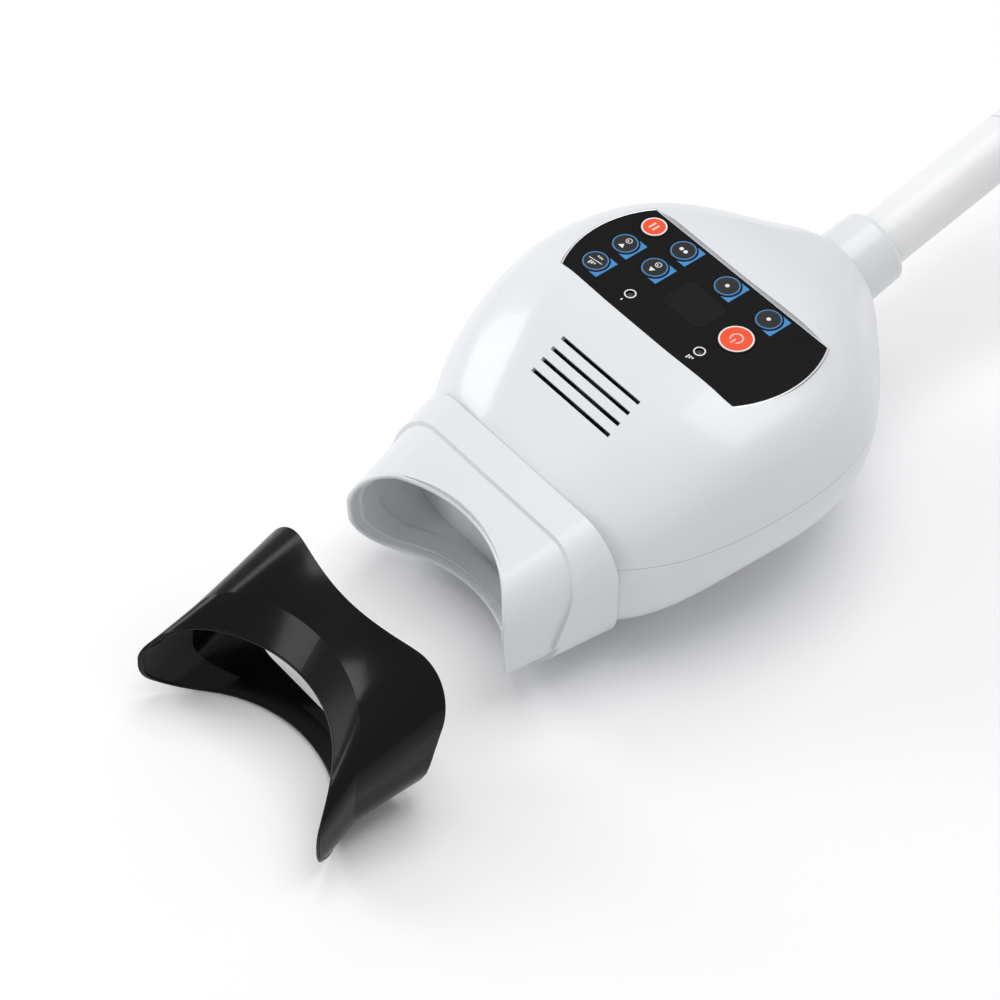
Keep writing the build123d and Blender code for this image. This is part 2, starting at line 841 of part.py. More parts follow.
def rear_collar():
    """Tapered sleeve at the back of the head, with its flange and stop lug."""
    length = collar_end - collar_start
    body = Cone(collar_root_radius, collar_tip_radius, length)
    body = fillet(body.edges().sort_by(Axis.Z)[-1], collar_round)
    body = along_arm((collar_start + collar_end) / 2) * body
    flange_end = collar_start + collar_flange_thickness
    body += arm_ring(collar_start, flange_end, collar_flange_radius)
    body -= arm_ring(collar_start - 1, collar_end + 1, collar_bore_radius)
    lug_start = stop_pin_at - stop_pin_radius - 1
    ring = arm_ring(lug_start, collar_start + 0.5, stop_outer_radius, stop_inner_radius)
    reach = 2 * stop_outer_radius * math.sin(math.radians(stop_half_angle))
    keep = along_arm(collar_start) * Pos(0, stop_outer_radius, 0) * Box(reach, stop_outer_radius, 40)
    return body + (ring & keep)


def swivel_bush():
    """Plastic bearing pressed into the collar."""
    return arm_ring(collar_start, bush_end, collar_bore_radius, tube_radius + running_gap)


def collar_seal():
    """Dark ring round the tube at the mouth of the collar."""
    return arm_ring(bush_end, bush_end + seal_length, collar_bore_radius, tube_radius + running_gap)


def friction_washer():
    """Spring washer that makes the arm stay where it is turned."""
    return arm_ring(collar_start - washer_thickness, collar_start, washer_radius, tube_radius + running_gap)


washer_start = collar_start - washer_thickness
ring_start = washer_start - ring_thickness


def retaining_ring():
    """Clip in the tube's groove."""
    ring = arm_ring(ring_start, washer_start - running_gap, ring_radius, tube_radius - ring_groove)
    gap = Box(5, 12, 20)
    return ring - along_arm(ring_start) * Pos(0, ring_radius, 0) * gap


def tube_end():
    """How far along its axis the tube reaches, so that the lamp is as long as it should be."""
    slope = math.radians(arm_pitch)
    return (half_length - tube_radius * math.sin(slope)) / math.cos(slope)


def arm_tube():
    """Painted tube that carries the head."""
    inner = tube_radius - tube_wall
    tube = arm_ring(tube_inner_end, tube_end(), tube_radius, inner)
    groove = arm_ring(ring_start - 0.05, washer_start, tube_radius + 1, tube_radius - ring_groove)
    pin_hole = along_arm(stop_pin_at) * Pos(0, -tube_radius, 0) * Rot(90, 0, 0) * Cylinder(stop_pin_radius, 6)
    socket_end = socket_groove_at + socket_groove_width
    socket_groove = arm_ring(socket_groove_at, socket_end, tube_radius + 1, tube_radius - socket_groove_depth)
    return tube - [groove, pin_hole, socket_groove]


def stop_pin():
    """Pin through the tube's wall that meets the collar's lug."""
    reach = stop_outer_radius - 0.6 - (tube_radius - tube_wall)
    middle = -(tube_radius - tube_wall) - reach / 2
    return along_arm(stop_pin_at) * Pos(0, middle, 0) * Rot(90, 0, 0) * Cylinder(stop_pin_radius, reach)


def arm_lead():
    """Supply lead inside the tube."""
    return arm_ring(tube_inner_end, connector_back, arm_lead_radius)


def arm_connector():
    """Round plug seat in the tube's far end, with its pins."""
    body = arm_ring(connector_back, connector_back + connector_length, tube_radius - tube_wall)
    for number in range(connector_pins):
        angle = 360 * number / connector_pins
        pin = Cylinder(0.6, 4.5)
        place = Rot(0, 0, angle) * Pos(connector_pin_ring, 0, 0)
        body += along_arm(connector_back + connector_length + 1.75) * place * pin
    return body


hood_drop = hood_travel * nozzle_bottom_slope
hood_grow = hood_fit + hood_wall - step_depth


def step_at(height):
    """Y of the nozzle's step at a height."""
    return step_y + step_tilt * (height - step_z)


def hood_rear_sizes():
    """Half width, top and bottom of the hood's rear edge, which fits over the sleeve at the step."""
    side = nozzle_back - step_at(lip_z)
    top = nozzle_back - step_at(nozzle_top)
    bottom = nozzle_back - step_at(nozzle_bottom)
    return (
        nozzle_half_width - nozzle_taper * side + hood_grow,
        nozzle_top - nozzle_top_slope * top + hood_grow - hood_drop,
        nozzle_bottom - nozzle_bottom_slope * bottom - hood_grow - hood_drop,
    )


def hood_face_y(x, back):
    """Y of the round that the face rests in, or of one set back from it."""
    rim_sagitta = hood_face_radius - math.sqrt(hood_face_radius**2 - hood_rim_half_width**2)
    centre = -half_length + hood_edge_swell + rim_sagitta - hood_face_radius
    return centre + math.sqrt((hood_face_radius + back) ** 2 - x * x)


def hood_rear_y(x, z):
    """Y of the hood's rear edge, which follows the nozzle's step and bows in at the middle of its top."""
    half, top, bottom = hood_rear_sizes()
    straight = step_at(z + hood_drop) - hood_gap
    if z < (top + bottom) / 2:
        return straight
    return straight - hood_rear_bow * (1 - (x / half) ** 2) ** 2


def hood_crease_y(x, z):
    """Y of the bend, a band's width behind the rim: wide at the top and narrow at the bottom."""
    share = (z - hood_crease_bottom) / (hood_crease_top - hood_crease_bottom)
    return hood_face_y(x, hood_band_bottom + (hood_band_top - hood_band_bottom) * share)


def hood_rim_y(x, z):
    """Y of the rim."""
    return hood_face_y(x, 0)


Ring = namedtuple("Ring", "half_width top bottom top_radius bottom_radius place")
hood_rings = {
    "rear": Ring(
        *hood_rear_sizes(), nozzle_top_radius + hood_grow, nozzle_bottom_radius + hood_grow, hood_rear_y
    ),
    "crease": Ring(
        hood_crease_half_width,
        hood_crease_top,
        hood_crease_bottom,
        hood_crease_top_radius,
        hood_crease_bottom_radius,
        hood_crease_y,
    ),
    "rim": Ring(
        hood_rim_half_width, hood_rim_top, 0.0, hood_rim_top_radius, hood_rim_bottom_radius, hood_rim_y
    ),
}


def corner_run(half_width, rise, radius):
    """Even steps from the middle of a flat edge, round a corner, to the middle of the side."""
    flat, turn, side = half_width - radius, radius * math.pi / 2, rise - radius
    points = []
    for step in range(hood_quarter_steps + 1):
        travel = (flat + turn + side) * step / hood_quarter_steps
        if travel < flat:
            points.append((travel, rise))
        elif travel < flat + turn:
            angle = (travel - flat) / radius
            points.append((flat + radius * math.sin(angle), side + radius * math.cos(angle)))
        else:
            points.append((half_width, side - (travel - flat - turn)))
    return points


def ring_outline(ring, inset):
    """Points round one of the hood's rings, drawn in by the inset, clockwise from its crown."""
    middle = (ring.top + ring.bottom) / 2
    half, rise = ring.half_width - inset, (ring.top - ring.bottom) / 2 - inset
    upper = corner_run(half, rise, ring.top_radius - inset)
    lower = corner_run(half, rise, ring.bottom_radius - inset)
    right_low = [(x, -z) for x, z in reversed(lower[:-1])]
    left_low = [(-x, -z) for x, z in lower[1:]]
    left_high = [(-x, z) for x, z in reversed(upper[1:-1])]
    return [(x, middle + z) for x, z in upper + right_low + left_low + left_high]


def hood_curve(kind, inset):
    """Closed row of points round the hood: at its rear edge, its crease or its rim."""
    ring = hood_rings[kind]
    return [(x, ring.place(x, z), z) for x, z in ring_outline(ring, inset)]


def quarters(points):
    """Four splines that close a row of points."""
    count = len(points) // 4
    closed = points + points[:1]
    return [Edge.make_spline([Vector(*p) for p in closed[i * count:(i + 1) * count + 1]]) for i in range(4)]


def light_hood():
    """Black hood: an open tube from its rear edge over a crease to a rim shaped to the face."""
    rings = [
        hood_curve("rear", 0),
        hood_curve("crease", 0),
        hood_curve("rim", 0),
        hood_curve("rim", hood_wall),
        hood_curve("crease", hood_wall),
        hood_curve("rear", hood_wall),
    ]
    edges = [quarters(ring) for ring in rings]
    faces = []
    for number, ring in enumerate(edges):
        following = edges[(number + 1) % len(edges)]
        for one, other in zip(ring, following):
            faces.append(Face.make_surface_from_curves(one, other))
    return Pos(hood_side, 0, 0) * Solid(Shell(faces))


def hood_clips(hood):
    """Small catches that carry on from the hood's rear corners into the nozzle's notches."""
    faces = []
    for inset in (hood_wall - clip_thickness, hood_wall):
        outline = ring_outline(hood_rings["rear"], inset)
        faces.append(cross_plane(-half_length) * make_face(Polyline(*outline, close=True)))
    sleeve = extrude(faces[0], amount=-half_length) - extrude(faces[1], amount=-half_length)
    low, high = notch_low - hood_drop + clip_play, notch_high - hood_drop - clip_play
    back = step_at((notch_low + notch_high) / 2) - hood_gap + clip_length
    reach = box_between((-60, back - 2 * clip_length, low), (60, back, high))
    band = Pos(hood_side, 0, 0) * (sleeve & reach)
    pieces = (band - hood).solids().sort_by(SortBy.VOLUME)
    return group(pieces[-2:])


def build_all():
    """Every node of the lamp by name."""
    lower_block, upper_block = parting_block(-20), parting_block(110)
    whole = casing()
    whole_nozzle = nozzle()
    hood = light_hood()
    nodes = {
        "upper_shell": upper_shell(whole, parting_block(-20, parting_gap / 2)),
        "lower_shell": lower_shell(whole, parting_block(110, -parting_gap / 2)),
        "nozzle_upper": whole_nozzle - lower_block,
        "nozzle_lower": whole_nozzle - upper_block,
        "mouth_trim": mouth_trim(),
        "window_lens": window_lens(),
        "window_gasket": window_gasket(),
        "reflector": reflector(),
        "led_board": led_board(),
        "blue_emitters": emitters((-1, 1)),
        "red_emitters": emitters((0,)),
        "heat_sink": heat_sink(),
        "engine_screws": engine_screws(),
        "fan_frame": fan_frame(),
        "fan_rotor": fan_rotor(),
        "fan_screws": fan_screws(),
        "panel_overlay": panel_overlay(),
        "display_window": display_window(),
        "display_module": display_module(),
        "indicator_leds": indicator_leds(),
        "key_switches": key_switches(),
        "control_board": control_board(),
        "board_screws": board_screws(),
        "buzzer": buzzer(),
        "driver_board": driver_board(),
        "driver_parts": driver_parts(),
        "driver_screws": driver_screws(),
        "board_link": board_link(),
        "link_sockets": link_sockets(),
        "lamp_lead": lamp_lead(),
        "head_lead": head_lead(),
        "casing_screws": casing_screws(),
        "rear_collar": rear_collar(),
        "swivel_bush": swivel_bush(),
        "collar_seal": collar_seal(),
        "friction_washer": friction_washer(),
        "retaining_ring": retaining_ring(),
        "arm_tube": arm_tube(),
        "stop_pin": stop_pin(),
        "arm_lead": arm_lead(),
        "arm_connector": arm_connector(),
        "light_hood": hood,
        "hood_clips": hood_clips(hood),
    }
    for key in keys:
        nodes[key.name] = key_cap(key)
    return nodes


for name, shape in build_all().items():
    export_step(shape, f"parts/{name}.step")
    print(name, len(shape.solids()), round(shape.volume))
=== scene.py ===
"""Looks of the teeth whitening lamp: materials, printed key marks, rounded edges, lights and camera.

Metres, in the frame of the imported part: X across the head, -Y at the patient, +Z up.
"""

import math
import json

import bmesh
import bpy
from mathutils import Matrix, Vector


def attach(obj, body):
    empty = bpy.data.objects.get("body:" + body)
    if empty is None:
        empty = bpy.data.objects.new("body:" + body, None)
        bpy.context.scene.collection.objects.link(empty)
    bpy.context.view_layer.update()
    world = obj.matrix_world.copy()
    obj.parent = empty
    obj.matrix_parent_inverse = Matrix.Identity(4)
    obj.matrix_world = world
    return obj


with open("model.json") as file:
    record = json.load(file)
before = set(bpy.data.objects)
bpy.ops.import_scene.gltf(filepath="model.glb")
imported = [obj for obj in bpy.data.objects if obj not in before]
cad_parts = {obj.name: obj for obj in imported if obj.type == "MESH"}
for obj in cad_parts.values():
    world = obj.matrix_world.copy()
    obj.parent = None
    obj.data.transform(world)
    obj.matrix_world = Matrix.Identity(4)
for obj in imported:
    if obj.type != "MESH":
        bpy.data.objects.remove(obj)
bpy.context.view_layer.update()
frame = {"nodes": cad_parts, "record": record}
nodes = frame["nodes"]
MM = 0.001

# Camera of the photograph
CAMERA_PLACE = (0.55315, -0.53884, 0.84948)
CAMERA_TILT = 41.7
CAMERA_TURN = 50.75
CAMERA_LENS = 111.6
SENSOR_WIDTH = 36.0
CAMERA_NEAR = 0.05
CAMERA_FAR = 20.0

# Floor, and the strength of the pale surround
FLOOR_HALF = 6.0
FLOOR_DROP = 0.0002
SURROUND = 0.53


def make_camera():
    """Camera at the photograph's viewing angle."""
    data = bpy.data.cameras.new("view_camera")
    data.lens = CAMERA_LENS
    data.sensor_width = SENSOR_WIDTH
    data.clip_start, data.clip_end = CAMERA_NEAR, CAMERA_FAR
    camera = bpy.data.objects.new("view_camera", data)
    camera.location = CAMERA_PLACE
    camera.rotation_euler = (math.radians(CAMERA_TILT), 0, math.radians(CAMERA_TURN))
    bpy.context.scene.collection.objects.link(camera)
    bpy.context.scene.camera = camera


def make_floor():
    """Plain pale floor."""
    mesh = bpy.data.meshes.new("floor")
    far = FLOOR_HALF
    corners = [(-far, -far, 0), (far, -far, 0), (far, far, 0), (-far, far, 0)]
    mesh.from_pydata(corners, [], [(0, 1, 2, 3)])
    floor = bpy.data.objects.new("floor", mesh)
    floor.location = (0, 0, -FLOOR_DROP)
    bpy.context.scene.collection.objects.link(floor)
    paint, _ = new_material("floor_paint", (0.92, 0.92, 0.925), 0.6)
    mesh.materials.append(paint)


def area_light(name, place, aim, size, power):
    """Soft rectangular light that points at a place."""
    data = bpy.data.lights.new(name, "AREA")
    data.shape = "RECTANGLE"
    data.size, data.size_y = size
    data.energy = power
    light = bpy.data.objects.new(name, data)
    light.location = place
    light.rotation_euler = (Vector(aim) - Vector(place)).to_track_quat("-Z", "Y").to_euler()
    bpy.context.scene.collection.objects.link(light)


LIGHTS = (
    # name, place, place that it points at, size in metres, power in watts
    ("top_light", (-0.05, 0.35, 1.9), (0.0, 0.0, 0.0), (1.5, 1.5), 20),
    ("key_light", (-1.35, -0.75, 0.8), (0.0, -0.08, 0.03), (0.7, 0.8), 7),
    ("front_light", (-0.6, -1.6, 0.5), (0.0, -0.1, 0.03), (0.5, 0.6), 3.2),
)


def make_lights():
    """Soft studio light: one big light above, one at the side, one in front, and a pale surround."""
    for name, place, aim, size, power in LIGHTS:
        area_light(name, place, aim, size, power)
    world = bpy.data.worlds.new("studio")
    world.use_nodes = True
    surround = world.node_tree.nodes["Background"]
    surround.inputs["Color"].default_value = (1, 1, 1, 1)
    surround.inputs["Strength"].default_value = SURROUND
    bpy.context.scene.world = world
    bpy.context.scene.view_settings.view_transform = "Standard"


def new_material(name, colour, roughness, metallic=0.0):
    """Material with its shader, before its own detail."""
    material = bpy.data.materials.new(name)
    material.use_nodes = True
    shader = material.node_tree.nodes["Principled BSDF"]
    shader.inputs["Base Color"].default_value = (*colour, 1)
    shader.inputs["Roughness"].default_value = roughness
    shader.inputs["Metallic"].default_value = metallic
    return material, shader


def add_noise(material, scale, detail, stretch=(1, 1, 1)):
    """Noise over the object's own coordinates, finer with more scale and drawn out by stretch."""
    tree = material.node_tree
    place = tree.nodes.new("ShaderNodeTexCoord")
    mapping = tree.nodes.new("ShaderNodeMapping")
    mapping.inputs["Scale"].default_value = stretch
    noise = tree.nodes.new("ShaderNodeTexNoise")
    noise.inputs["Scale"].default_value = scale
    noise.inputs["Detail"].default_value = detail
    tree.links.new(place.outputs["Object"], mapping.inputs["Vector"])
    tree.links.new(mapping.outputs["Vector"], noise.inputs["Vector"])
    return noise


# Parts of the noise's range over which the tone changes
TONE_START = 0.35
TONE_END = 0.65


def vary_colour(material, shader, noise, dark, light):
    """Colour that drifts between two tones."""
    ramp = material.node_tree.nodes.new("ShaderNodeValToRGB")
    ramp.color_ramp.elements[0].position = TONE_START
    ramp.color_ramp.elements[0].color = (*dark, 1)
    ramp.color_ramp.elements[1].position = TONE_END
    ramp.color_ramp.elements[1].color = (*light, 1)
    material.node_tree.links.new(noise.outputs["Fac"], ramp.inputs["Fac"])
    material.node_tree.links.new(ramp.outputs["Color"], shader.inputs["Base Color"])


def vary_roughness(material, shader, noise, low, high):
    """Roughness that drifts between two values."""
    span = material.node_tree.nodes.new("ShaderNodeMapRange")
    span.inputs["To Min"].default_value = low
    span.inputs["To Max"].default_value = high
    material.node_tree.links.new(noise.outputs["Fac"], span.inputs["Value"])
    material.node_tree.links.new(span.outputs["Result"], shader.inputs["Roughness"])


def add_bump(material, shader, noise, depth, strength):
    """Fine relief of a depth in metres."""
    bump = material.node_tree.nodes.new("ShaderNodeBump")
    bump.inputs["Distance"].default_value = depth
    bump.inputs["Strength"].default_value = strength
    material.node_tree.links.new(noise.outputs["Fac"], bump.inputs["Height"])
    material.node_tree.links.new(bump.outputs["Normal"], shader.inputs["Normal"])


# Depth of the slight waves in a surface, in metres
MOULDED_WAVE = 0.00002
GLOSS_WAVE = 0.00003
COAT_ROUGHNESS = 0.06


def moulded(name, dark, light, rough, coat=0.0):
    """Moulded plastic: slow tone drift, uneven gloss, slight waves and a clear coat."""
    material, shader = new_material(name, light, rough[0])
    vary_colour(material, shader, add_noise(material, 14, 2), dark, light)
    vary_roughness(material, shader, add_noise(material, 120, 4), *rough)
    add_bump(material, shader, add_noise(material, 70, 3), MOULDED_WAVE, 0.2)
    shader.inputs["Coat Weight"].default_value = coat
    shader.inputs["Coat Roughness"].default_value = COAT_ROUGHNESS
    return material


def white_casing():
    """White glossy casing."""
    return moulded("white_casing_skin", (0.70, 0.72, 0.745), (0.72, 0.74, 0.765), (0.28, 0.34), 0.22)


def white_tube():
    """White powder coat, duller than the casing."""
    return moulded("white_tube_coat", (0.78, 0.785, 0.795), (0.81, 0.815, 0.82), (0.34, 0.42), 0.1)


def gloss_black(name, tone, rough, gloss=0.35):
    """Deep gloss black with faint wiping marks."""
    material, shader = new_material(name, (tone, tone, tone), rough)
    vary_colour(material, shader, add_noise(material, 40, 3), (tone * 0.85,) * 3, (tone * 1.2,) * 3)
    vary_roughness(material, shader, add_noise(material, 260, 5, (1, 5, 1)), rough, rough * 1.5)
    add_bump(material, shader, add_noise(material, 35, 2), GLOSS_WAVE, 0.1)
    shader.inputs["Specular IOR Level"].default_value = gloss
    return material


def printed(name, colour, rough=0.4):
    """Screen-printed ink."""
    material, shader = new_material(name, colour, rough)
    vary_roughness(material, shader, add_noise(material, 700, 4), rough * 0.85, rough * 1.2)
    shade = tuple(channel * 0.94 for channel in colour)
    vary_colour(material, shader, add_noise(material, 300, 3), shade, colour)
    return material


def frosted(name, colour):
    """Opal pane that spreads the light."""
    material, shader = new_material(name, colour, 0.45)
    shader.inputs["Transmission Weight"].default_value = 0.1
    shader.inputs["IOR"].default_value = 1.49
    vary_roughness(material, shader, add_noise(material, 300, 4), 0.4, 0.55)
    return material


def metal(name, colour, rough):
    """Bare metal with drawn streaks."""
    material, shader = new_material(name, colour, rough, 1.0)
    vary_roughness(material, shader, add_noise(material, 500, 5, (1, 12, 1)), rough, rough * 1.5)
    add_bump(material, shader, add_noise(material, 900, 3, (1, 10, 1)), GLOSS_WAVE, 0.2)
    return material


def make_materials():
    """Every finish by the name of its slot."""
    return {
        "white_casing": white_casing(),
        "white_tube": white_tube(),
        "panel_black": gloss_black("panel_gloss", 0.005, 0.16, 0.13),
        "smoked_window": gloss_black("smoked_pane", 0.009, 0.12, 0.13),
        "display_body": gloss_black("display_face", 0.05, 0.4),
        "indicator_lens": gloss_black("indicator_dome", 0.04, 0.2),
        "key_black": gloss_black("key_gloss", 0.012, 0.24),
        "grey_trim": moulded("trim_skin", (0.66, 0.67, 0.69), (0.70, 0.71, 0.73), (0.3, 0.42)),
        "clear_window": frosted("window_pane", (0.80, 0.81, 0.83)),
        "dark_rubber": moulded("rubber_skin", (0.10, 0.10, 0.105), (0.14, 0.14, 0.145), (0.6, 0.75)),
        "bright_reflector": metal("reflector_plating", (0.8, 0.81, 0.83), 0.12),
        "lamp_board": moulded("lamp_board_mask", (0.78, 0.79, 0.8), (0.84, 0.85, 0.86), (0.4, 0.5)),
        "blue_chip": moulded("blue_dome", (0.12, 0.25, 0.75), (0.2, 0.35, 0.9), (0.12, 0.2), 0.5),
        "red_chip": moulded("red_dome", (0.65, 0.08, 0.07), (0.8, 0.14, 0.1), (0.12, 0.2), 0.5),
        "bare_aluminium": metal("extruded_aluminium", (0.7, 0.71, 0.73), 0.35),
        "steel_screw": metal("plated_steel", (0.6, 0.6, 0.61), 0.28),
        "spring_steel": metal("blued_steel", (0.35, 0.35, 0.38), 0.3),
        "black_plastic": moulded("black_part", (0.015, 0.015, 0.016), (0.022, 0.022, 0.024), (0.4, 0.5)),
        "green_board": moulded("green_mask", (0.02, 0.16, 0.07), (0.03, 0.22, 0.1), (0.3, 0.4)),
        "switch_body": moulded("switch_part", (0.04, 0.04, 0.04), (0.06, 0.06, 0.06), (0.4, 0.5)),
        "driver_part": moulded("driver_sleeve", (0.04, 0.05, 0.12), (0.06, 0.07, 0.16), (0.3, 0.4)),
        "grey_lead": moulded("lead_jacket", (0.12, 0.12, 0.13), (0.17, 0.17, 0.18), (0.4, 0.5)),
        "ivory_plastic": moulded("ivory_part", (0.72, 0.69, 0.6), (0.78, 0.75, 0.67), (0.4, 0.5)),
        "hood_black": gloss_black("hood_gloss", 0.003, 0.14, 0.2),
    }


def make_inks():
    """Printed colours of the panel and keys."""
    return {
        "white": printed("white_ink", (0.80, 0.81, 0.82)),
        "grey": printed("grey_ink", (0.50, 0.50, 0.51)),
        "blue": printed("blue_ink", (0.035, 0.235, 0.56)),
        "red": printed("red_ink", (0.87, 0.072, 0.012), 0.3),
        "silver": metal("rim_silver", (0.72, 0.73, 0.75), 0.3),
        "pale": printed("pale_ink", (0.72, 0.55, 0.50)),
    }


def dress_nodes(materials):
    """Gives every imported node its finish."""
    slots = {part["node"]: part["material_slot"] for part in frame["record"]["subparts"]}
    for name, node in nodes.items():
        node.data.materials.clear()
        node.data.materials.append(materials[slots[name]])


# Heights and sizes of the key panel, in millimetres
PANEL_TOP = 88.0
KEY_TOP = 88.4
PANEL_HALF_LENGTH = 45.0
PANEL_HALF_DEPTH = 22.2
PANEL_BULGE = 6.5
INK = 0.04
SINK = 0.02
RING_STEPS = 64
RING_SOFTEN = 0.2


def add_piece(name, shape, material, body):
    """Puts a finished mesh or curve in the scene as a piece of the lamp."""
    piece = bpy.data.objects.new(name, shape)
    shape.materials.append(material)
    bpy.context.scene.collection.objects.link(piece)
    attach(piece, body)


def mesh_from(name, points, faces):
    """Mesh from points in millimetres, with every face looking outward."""
    mesh = bpy.data.meshes.new(name)
    mesh.from_pydata([Vector(point) * MM for point in points], [], faces)
    work = bmesh.new()
    work.from_mesh(mesh)
    bmesh.ops.recalc_face_normals(work, faces=work.faces)
    work.to_mesh(mesh)
    work.free()
    return mesh


def round_points(centre, radius):
    """Points round a circle."""
    turns = [2 * math.pi * step / RING_STEPS for step in range(RING_STEPS)]
    return [(centre[0] + radius * math.cos(turn), centre[1] + radius * math.sin(turn)) for turn in turns]


def panel_points(grow):
    """Points round the panel's outline, moved out by a distance."""
    x, y = PANEL_HALF_LENGTH + grow, PANEL_HALF_DEPTH + grow
    radius = (PANEL_BULGE**2 + y**2) / (2 * PANEL_BULGE)
    reach = math.asin(y / radius)
    middle = x + PANEL_BULGE - radius
    half = RING_STEPS // 2
    turns = [-reach + 2 * reach * step / (half - 1) for step in range(half)]
    right = [(middle + radius * math.cos(turn), radius * math.sin(turn)) for turn in turns]
    return right + [(-px, -py) for px, py in right]


def partway(outline, other, share):
    """Outline that lies a share of the way from one outline to another."""
    return [tuple(a + (b - a) * share for a, b in zip(one, two)) for one, two in zip(outline, other)]


def band(name, inner, outer, low, high, soften):
    """Closed band between two outlines, with its upper edges softened."""
    outer_top = partway(outer, inner, soften)
    inner_top = partway(inner, outer, soften)
    edge = high - (high - low) * soften
    rows = [(outer, low), (outer, edge), (outer_top, high), (inner_top, high), (inner, edge), (inner, low)]
    count = len(outer)
    points = [(x, y, height) for outline, height in rows for x, y in outline]
    faces = []
    for row in range(len(rows)):
        base, above = row * count, (row + 1) % len(rows) * count
        for step in range(count):
            after = (step + 1) % count
            faces.append((base + step, base + after, above + after, above + step))
    return mesh_from(name, points, faces)


def ring(name, centre, inner, outer, low, high):
    """Round band."""
    return band(name, round_points(centre, inner), round_points(centre, outer), low, high, RING_SOFTEN)


def inked(name, outlines, low, high):
    """Thin ink from flat outlines, raised between two heights."""
    points, faces = [], []
    for outline in outlines:
        count, base = len(outline), len(points)
        points += [(x, y, low) for x, y in outline] + [(x, y, high) for x, y in outline]
        faces.append(tuple(base + step for step in range(count)))
        faces.append(tuple(base + count + step for step in range(count)))
        for step in range(count):
            after = (step + 1) % count
            faces.append((base + step, base + after, base + count + after, base + count + step))
    return mesh_from(name, points, faces)


def box_outline(x, y, width, depth):
    """Corners of a rectangle round its middle."""
    left, right = x - width / 2, x + width / 2
    back, front = y - depth / 2, y + depth / 2
    return [(left, back), (right, back), (right, front), (left, front)]


ARC_STEPS = 28


def arc_band(x, y, inner, outer, start, end):
    """Outline of part of a flat ring, from one angle to another in degrees."""
    turns = [math.radians(start + (end - start) * step / ARC_STEPS) for step in range(ARC_STEPS + 1)]
    outside = [(x + outer * math.cos(turn), y + outer * math.sin(turn)) for turn in turns]
    inside = [(x + inner * math.cos(turn), y + inner * math.sin(turn)) for turn in reversed(turns)]
    return outside + inside


# Marks, each drawn for a reader at the arm's end, so their upward is -Y. Sizes are in millimetres.
TRIANGLE_SIZE = 1.25
CLOCK_RADIUS = 1.25
CLOCK_DOWN = 1.75
CLOCK_LINE = 0.26
CLOCK_HAND = 0.3
LEVEL_PITCH = 0.95
LEVEL_WIDTH = 0.55
DOT_RADIUS = 0.8
DOT_APART = 1.05


def pause_mark(x, y):
    """Two upright bars."""
    return [box_outline(x - 0.95, y, 0.85, 3.4), box_outline(x + 0.95, y, 0.85, 3.4)]


def triangle(x, y, way):
    """Triangle that points along Y, one way or the other."""
    base = y - way * TRIANGLE_SIZE * 0.55
    tip = y + way * TRIANGLE_SIZE * 0.95
    return [(x - TRIANGLE_SIZE, base), (x + TRIANGLE_SIZE, base), (x, tip)]


def clock_mark(x, y):
    """Small clock face: a ring in two halves, and two hands."""
    radius = CLOCK_RADIUS
    return [
        arc_band(x, y, radius - CLOCK_LINE, radius, 0, 179.9),
        arc_band(x, y, radius - CLOCK_LINE, radius, 180, 359.9),
        box_outline(x, y - radius * 0.3, CLOCK_HAND, radius * 0.7),
        box_outline(x - radius * 0.28, y, radius * 0.56, CLOCK_HAND),
    ]


def time_down_mark(x, y):
    """Triangle that points down, over a clock."""
    return [triangle(x, y - 1.7, 1)] + clock_mark(x, y + CLOCK_DOWN)


def time_up_mark(x, y):
    """Triangle that points up, over a clock."""
    return [triangle(x, y - 1.5, -1)] + clock_mark(x, y + CLOCK_DOWN)


def level_mark(x, y, heights):
    """Row of bars that grow from one to the next."""
    middle = (len(heights) - 1) / 2
    return [
        box_outline(x - (number - middle) * LEVEL_PITCH, y - height / 2, LEVEL_WIDTH, height)
        for number, height in enumerate(heights)
    ]


def high_low_mark(x, y):
    """High and low level on the two sides of a slanting line."""
    line = [(x - 3.0, y - 0.55), (x - 3.0, y - 0.25), (x + 3.0, y + 0.55), (x + 3.0, y + 0.25)]
    return [line] + level_mark(x, y - 0.9, (0.7, 1.3, 1.9)) + level_mark(x, y + 2.6, (0.7, 0.7, 0.7))


def dots_mark(x, y, count):
    """One dot for one colour of light, two for both."""
    places = (0.0,) if count == 1 else (-DOT_APART, DOT_APART)
    return [round_points((x + place, y), DOT_RADIUS) for place in places]


def one_dot(x, y):
    """Mark of a key for one colour."""
    return dots_mark(x, y, 1)


def two_dots(x, y):
    """Mark of the key for both colours."""
    return dots_mark(x, y, 2)


def power_mark(x, y):
    """Open ring with an upright bar."""
    return [arc_band(x, y + 0.2, 1.95, 2.5, -55, 235), box_outline(x, y - 1.6, 0.6, 2.7)]


SMALL_KEY = 5.1
LARGE_KEY = 6.7
KEYS = (
    # name, x, y, radius, mark, is it a red key
    ("pause", -38.3, 15.5, SMALL_KEY, pause_mark, True),
    ("time_down", -38.3, 1.9, SMALL_KEY, time_down_mark, False),
    ("high_low", -38.3, -12.0, SMALL_KEY, high_low_mark, False),
    ("time_up", -22.5, 1.9, SMALL_KEY, time_up_mark, False),
    ("two_colours", -22.5, 15.5, SMALL_KEY, two_dots, False),
    ("red_light", 0.6, 15.5, SMALL_KEY, one_dot, False),
    ("blue_light", 22.0, 15.5, SMALL_KEY, one_dot, False),
    ("on_off", 22.0, 0.4, LARGE_KEY, power_mark, True),
)
EDGE_ROUND = 0.4
RING_WIDTH = 0.42
RED_RING_SHARE = 1.35
BLOCK_REACH = 6.1
BLOCK_HALF = 5.05
BLOCK_STEPS = 24
KEY_HOLE_GAP = 0.3


